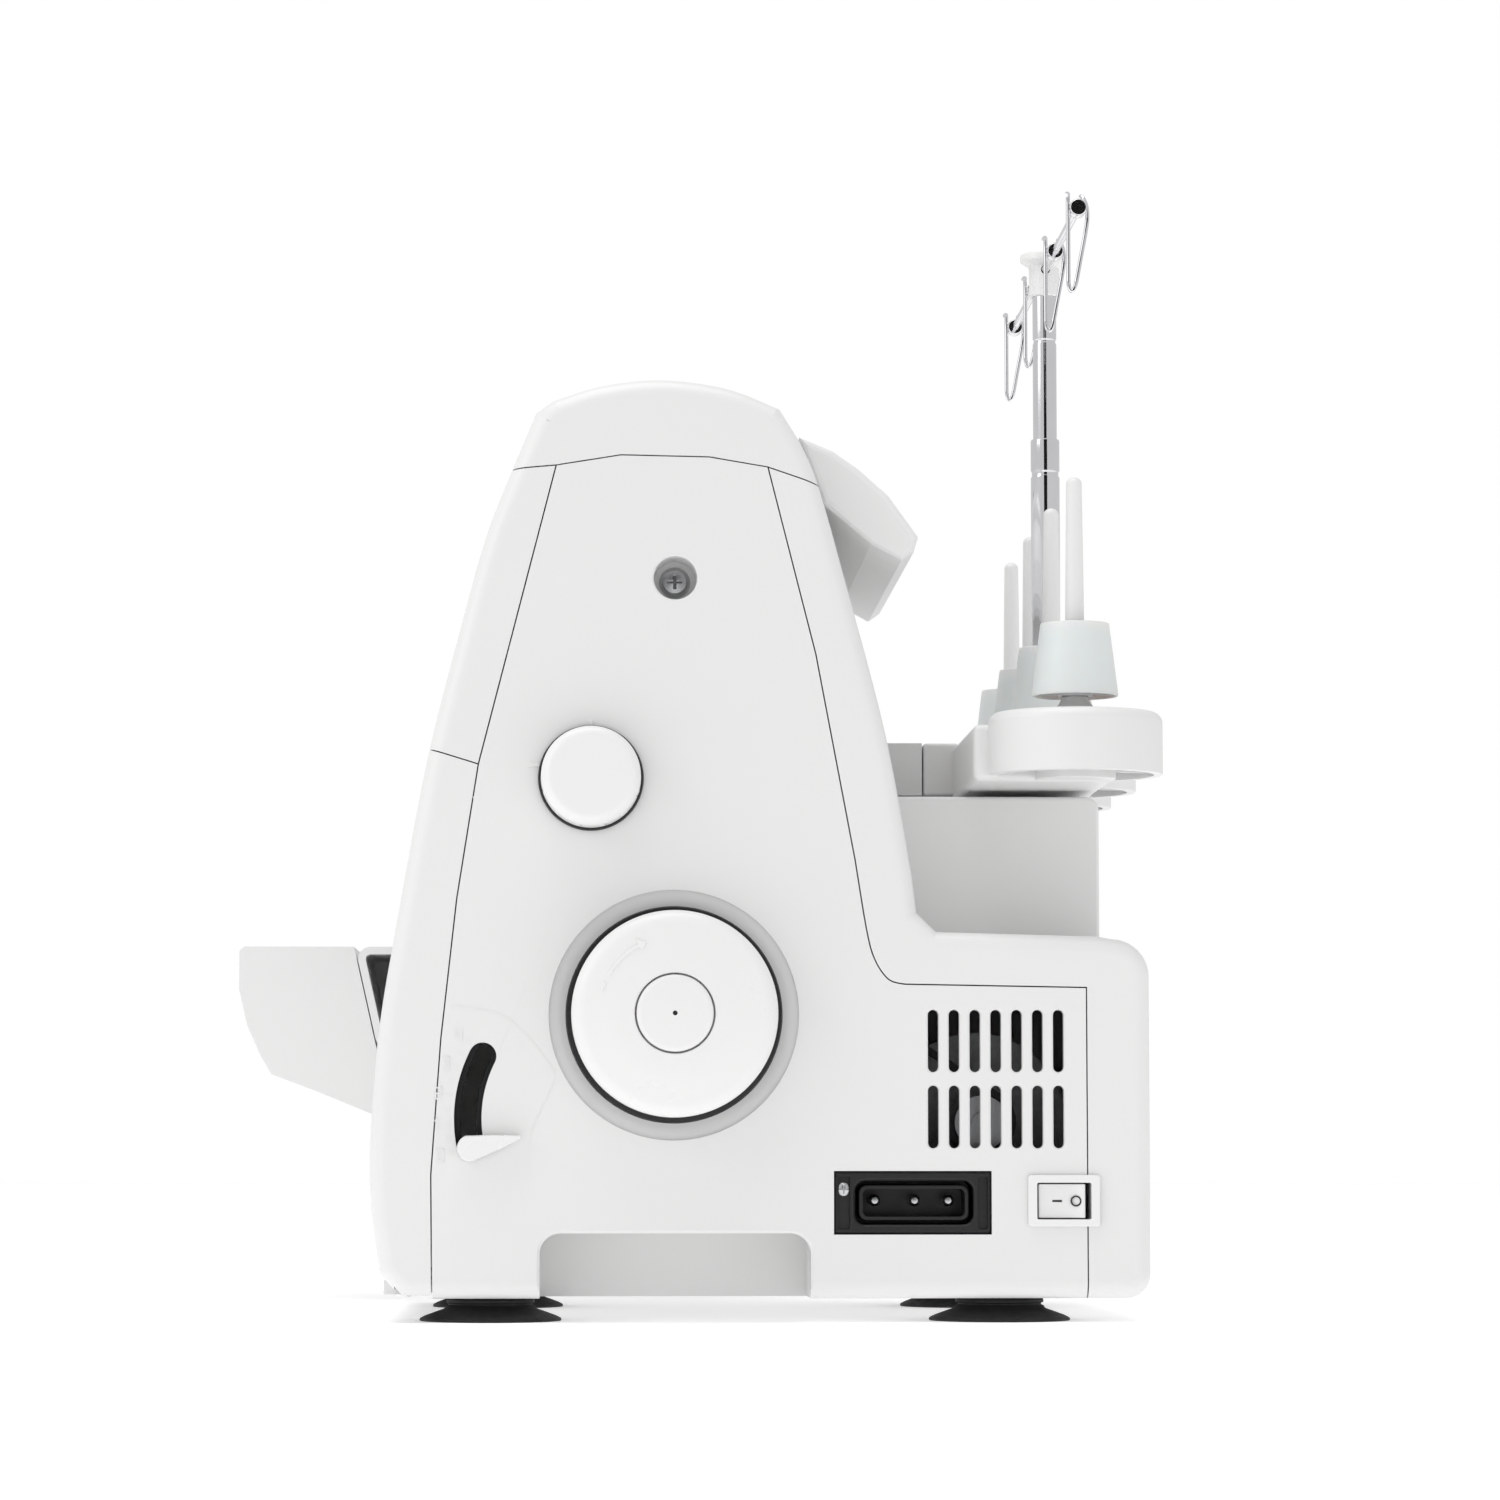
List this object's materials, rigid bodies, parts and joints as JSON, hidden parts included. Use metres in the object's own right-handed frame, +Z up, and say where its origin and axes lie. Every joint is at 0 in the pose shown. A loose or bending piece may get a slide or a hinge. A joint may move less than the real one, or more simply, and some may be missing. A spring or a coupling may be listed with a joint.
{
  "type": "serger overlock machine",
  "caption": "White four-thread overlock sewing machine with handwheel, telescopic thread mast, spool pins, fold-down front cover and slide-off extension table.",
  "frame": {"origin": "floor level under the centre of the whole machine's box", "axes": "+X to the handwheel side, +Y to the rear, +Z up"},
  "size_m": [0.325, 0.2852, 0.3369],
  "materials": {
    "white_shell": "white satin moulded plastic",
    "white_knob": "white smooth moulded plastic",
    "black_plastic": "black moulded plastic",
    "rubber_foot": "black soft rubber",
    "steel_working": "ground and polished steel",
    "chrome_wire": "bright chrome plate",
    "cast_frame": "rough cast aluminium",
    "cone_plastic": "translucent natural plastic",
    "lamp_plastic": "clear moulded lens",
    "belt_rubber": "black rubber belt"
  },
  "bodies": {
    "body": {"right_side_cover": "white_shell", "top_cover": "white_shell", "front_upper_cover": "white_shell", "rear_cover": "white_shell", "head_end_cover": "white_shell", "base_pan": "white_shell", "free_arm_cover": "white_shell", "spool_stand": "white_shell", "carry_handle": "white_shell", "spool_pin_1": "white_shell", "spool_pin_2": "white_shell", "spool_pin_3": "white_shell", "spool_pin_4": "white_shell", "switch_bezel": "white_knob", "power_inlet": "black_plastic", "foot_1": "rubber_foot", "foot_2": "rubber_foot", "foot_3": "rubber_foot", "foot_4": "rubber_foot", "needle_plate": "steel_working", "lower_knife": "steel_working", "side_cover_screw": "steel_working", "mast_lower_tube": "chrome_wire", "main_frame": "cast_frame", "drive_motor": "cast_frame", "lamp_lens": "lamp_plastic", "drive_belt": "belt_rubber"},
    "wheel": {"handwheel": "white_knob", "handwheel_rim": "black_plastic", "handwheel_cap": "white_knob", "main_shaft": "steel_working"},
    "motor_rotor": {"motor_pulley": "steel_working"},
    "needle_bar": {"needle_bar": "steel_working", "needle_left": "steel_working", "needle_right": "steel_working"},
    "upper_looper": {"upper_looper": "steel_working"},
    "lower_looper": {"lower_looper": "steel_working"},
    "upper_knife": {"upper_knife": "steel_working"},
    "feed_dog": {"feed_dog": "steel_working"},
    "presser_bar": {"presser_bar": "steel_working"},
    "presser_foot": {"presser_foot": "steel_working"},
    "presser_lifter": {"presser_lifter": "white_knob"},
    "pressure_screw": {"pressure_screw": "white_knob"},
    "stitch_length_dial": {"stitch_length_dial": "white_knob"},
    "feed_lever": {"feed_lever": "white_knob"},
    "looper_cover_hinge": {"looper_cover_hinge": "steel_working"},
    "looper_cover": {"looper_cover": "white_shell"},
    "extension_table": {"extension_table": "white_shell"},
    "power_rocker": {"power_rocker": "white_knob"},
    "mast_upper_tube": {"mast_upper_tube": "chrome_wire"},
    "thread_guides": {"mast_cap": "white_knob", "thread_guide_bar": "chrome_wire"},
    "tension_dial_1": {"tension_dial_1": "white_knob"},
    "cone_adapter_1": {"cone_adapter_1": "cone_plastic"},
    "tension_dial_2": {"tension_dial_2": "white_knob"},
    "cone_adapter_2": {"cone_adapter_2": "cone_plastic"},
    "tension_dial_3": {"tension_dial_3": "white_knob"},
    "cone_adapter_3": {"cone_adapter_3": "cone_plastic"},
    "tension_dial_4": {"tension_dial_4": "white_knob"},
    "cone_adapter_4": {"cone_adapter_4": "cone_plastic"}
  },
  "joints": [
    {"name": "wheel_turn", "type": "hinge", "parent": "body", "child": "wheel", "pos_m": [0.1425, -0.00272, 0.0891], "axis": [1, 0, 0], "continuous": true},
    {"name": "motor_turn", "type": "hinge", "parent": "body", "child": "motor_rotor", "pos_m": [0.1425, 0.08847, 0.058], "axis": [1, 0, 0], "continuous": true},
    {"name": "needle_bar_slide", "type": "slide", "parent": "body", "child": "needle_bar", "axis": [0, 0, -1], "range_m": [0, 0.027]},
    {"name": "upper_looper_swing", "type": "hinge", "parent": "body", "child": "upper_looper", "pos_m": [-0.0055, -0.04403, 0.066], "axis": [0, 1, 0], "range_deg": [-15, 0]},
    {"name": "lower_looper_swing", "type": "hinge", "parent": "body", "child": "lower_looper", "pos_m": [-0.0175, -0.03603, 0.062], "axis": [0, 1, 0], "range_deg": [-18, 0]},
    {"name": "upper_knife_rock", "type": "hinge", "parent": "body", "child": "upper_knife", "pos_m": [-0.0195, -0.05353, 0.096], "axis": [1, 0, 0], "range_deg": [-14, 0]},
    {"name": "feed_dog_slide", "type": "slide", "parent": "body", "child": "feed_dog", "axis": [0, 1, 0], "range_m": [-0.002, 0.002]},
    {"name": "presser_lifter_turn", "type": "hinge", "parent": "body", "child": "presser_lifter", "pos_m": [-0.0625, 0.06448, 0.186], "axis": [0, 1, 0], "range_deg": [0, 35]},
    {"name": "presser_bar_slide", "type": "slide", "parent": "body", "child": "presser_bar", "axis": [0, 0, 1], "range_m": [0, 0.006]},
    {"name": "presser_foot_rock", "type": "hinge", "parent": "presser_bar", "child": "presser_foot", "pos_m": [-0.0375, -0.00553, 0.1256], "axis": [1, 0, 0], "range_deg": [-5, 0]},
    {"name": "pressure_screw_turn", "type": "hinge", "parent": "body", "child": "pressure_screw", "pos_m": [-0.0375, -0.00553, 0.2772], "axis": [0, 0, 1], "range_deg": [-360, 360]},
    {"name": "stitch_length_turn", "type": "hinge", "parent": "body", "child": "stitch_length_dial", "pos_m": [0.1425, -0.02703, 0.158], "axis": [1, 0, 0], "range_deg": [-140, 140]},
    {"name": "feed_lever_turn", "type": "hinge", "parent": "body", "child": "feed_lever", "pos_m": [0.1305, -0.02243, 0.0592], "axis": [1, 0, 0], "range_deg": [-42, 0]},
    {"name": "tension_dial_1_turn", "type": "hinge", "parent": "body", "child": "tension_dial_1", "pos_m": [0.0675, -0.04512, 0.224], "axis": [1, 0, 0], "range_deg": [-150, 150]},
    {"name": "tension_dial_2_turn", "type": "hinge", "parent": "body", "child": "tension_dial_2", "pos_m": [0.0375, -0.04512, 0.224], "axis": [1, 0, 0], "range_deg": [-150, 150]},
    {"name": "tension_dial_3_turn", "type": "hinge", "parent": "body", "child": "tension_dial_3", "pos_m": [0.0075, -0.04512, 0.224], "axis": [1, 0, 0], "range_deg": [-150, 150]},
    {"name": "tension_dial_4_turn", "type": "hinge", "parent": "body", "child": "tension_dial_4", "pos_m": [-0.0225, -0.04512, 0.224], "axis": [1, 0, 0], "range_deg": [-150, 150]},
    {"name": "looper_cover_slide", "type": "slide", "parent": "body", "child": "looper_cover_hinge", "axis": [1, 0, 0], "range_m": [0, 0.009]},
    {"name": "looper_cover_open", "type": "hinge", "parent": "looper_cover_hinge", "child": "looper_cover", "pos_m": [0.0475, -0.07952, 0.0092], "axis": [1, 0, 0], "range_deg": [0, 80]},
    {"name": "extension_table_slide", "type": "slide", "parent": "body", "child": "extension_table", "axis": [-1, 0, 0], "range_m": [0, 0.115]},
    {"name": "power_rocker_tilt", "type": "hinge", "parent": "body", "child": "power_rocker", "pos_m": [0.1365, 0.11067, 0.0352], "axis": [0, 0, 1], "range_deg": [0, 12]},
    {"name": "mast_telescope", "type": "slide", "parent": "body", "child": "mast_upper_tube", "axis": [0, 0, 1], "range_m": [-0.024, 0.03]},
    {"name": "thread_guide_turn", "type": "hinge", "parent": "mast_upper_tube", "child": "thread_guides", "pos_m": [0.0175, 0.11837, 0.3312], "axis": [0, 0, 1], "range_deg": [-90, 90]},
    {"name": "cone_adapter_1_lift", "type": "slide", "parent": "body", "child": "cone_adapter_1", "axis": [0, 0, 1], "range_m": [0, 0.07]},
    {"name": "cone_adapter_2_lift", "type": "slide", "parent": "body", "child": "cone_adapter_2", "axis": [0, 0, 1], "range_m": [0, 0.07]},
    {"name": "cone_adapter_3_lift", "type": "slide", "parent": "body", "child": "cone_adapter_3", "axis": [0, 0, 1], "range_m": [0, 0.07]},
    {"name": "cone_adapter_4_lift", "type": "slide", "parent": "body", "child": "cone_adapter_4", "axis": [0, 0, 1], "range_m": [0, 0.07]}
  ],
  "couplings": [
    {"joint": "motor_turn", "follows": "wheel_turn", "ratio": 4},
    {"joint": "presser_lifter_turn", "follows": "presser_bar_slide", "rad_per_m": 101.81}
  ]
}
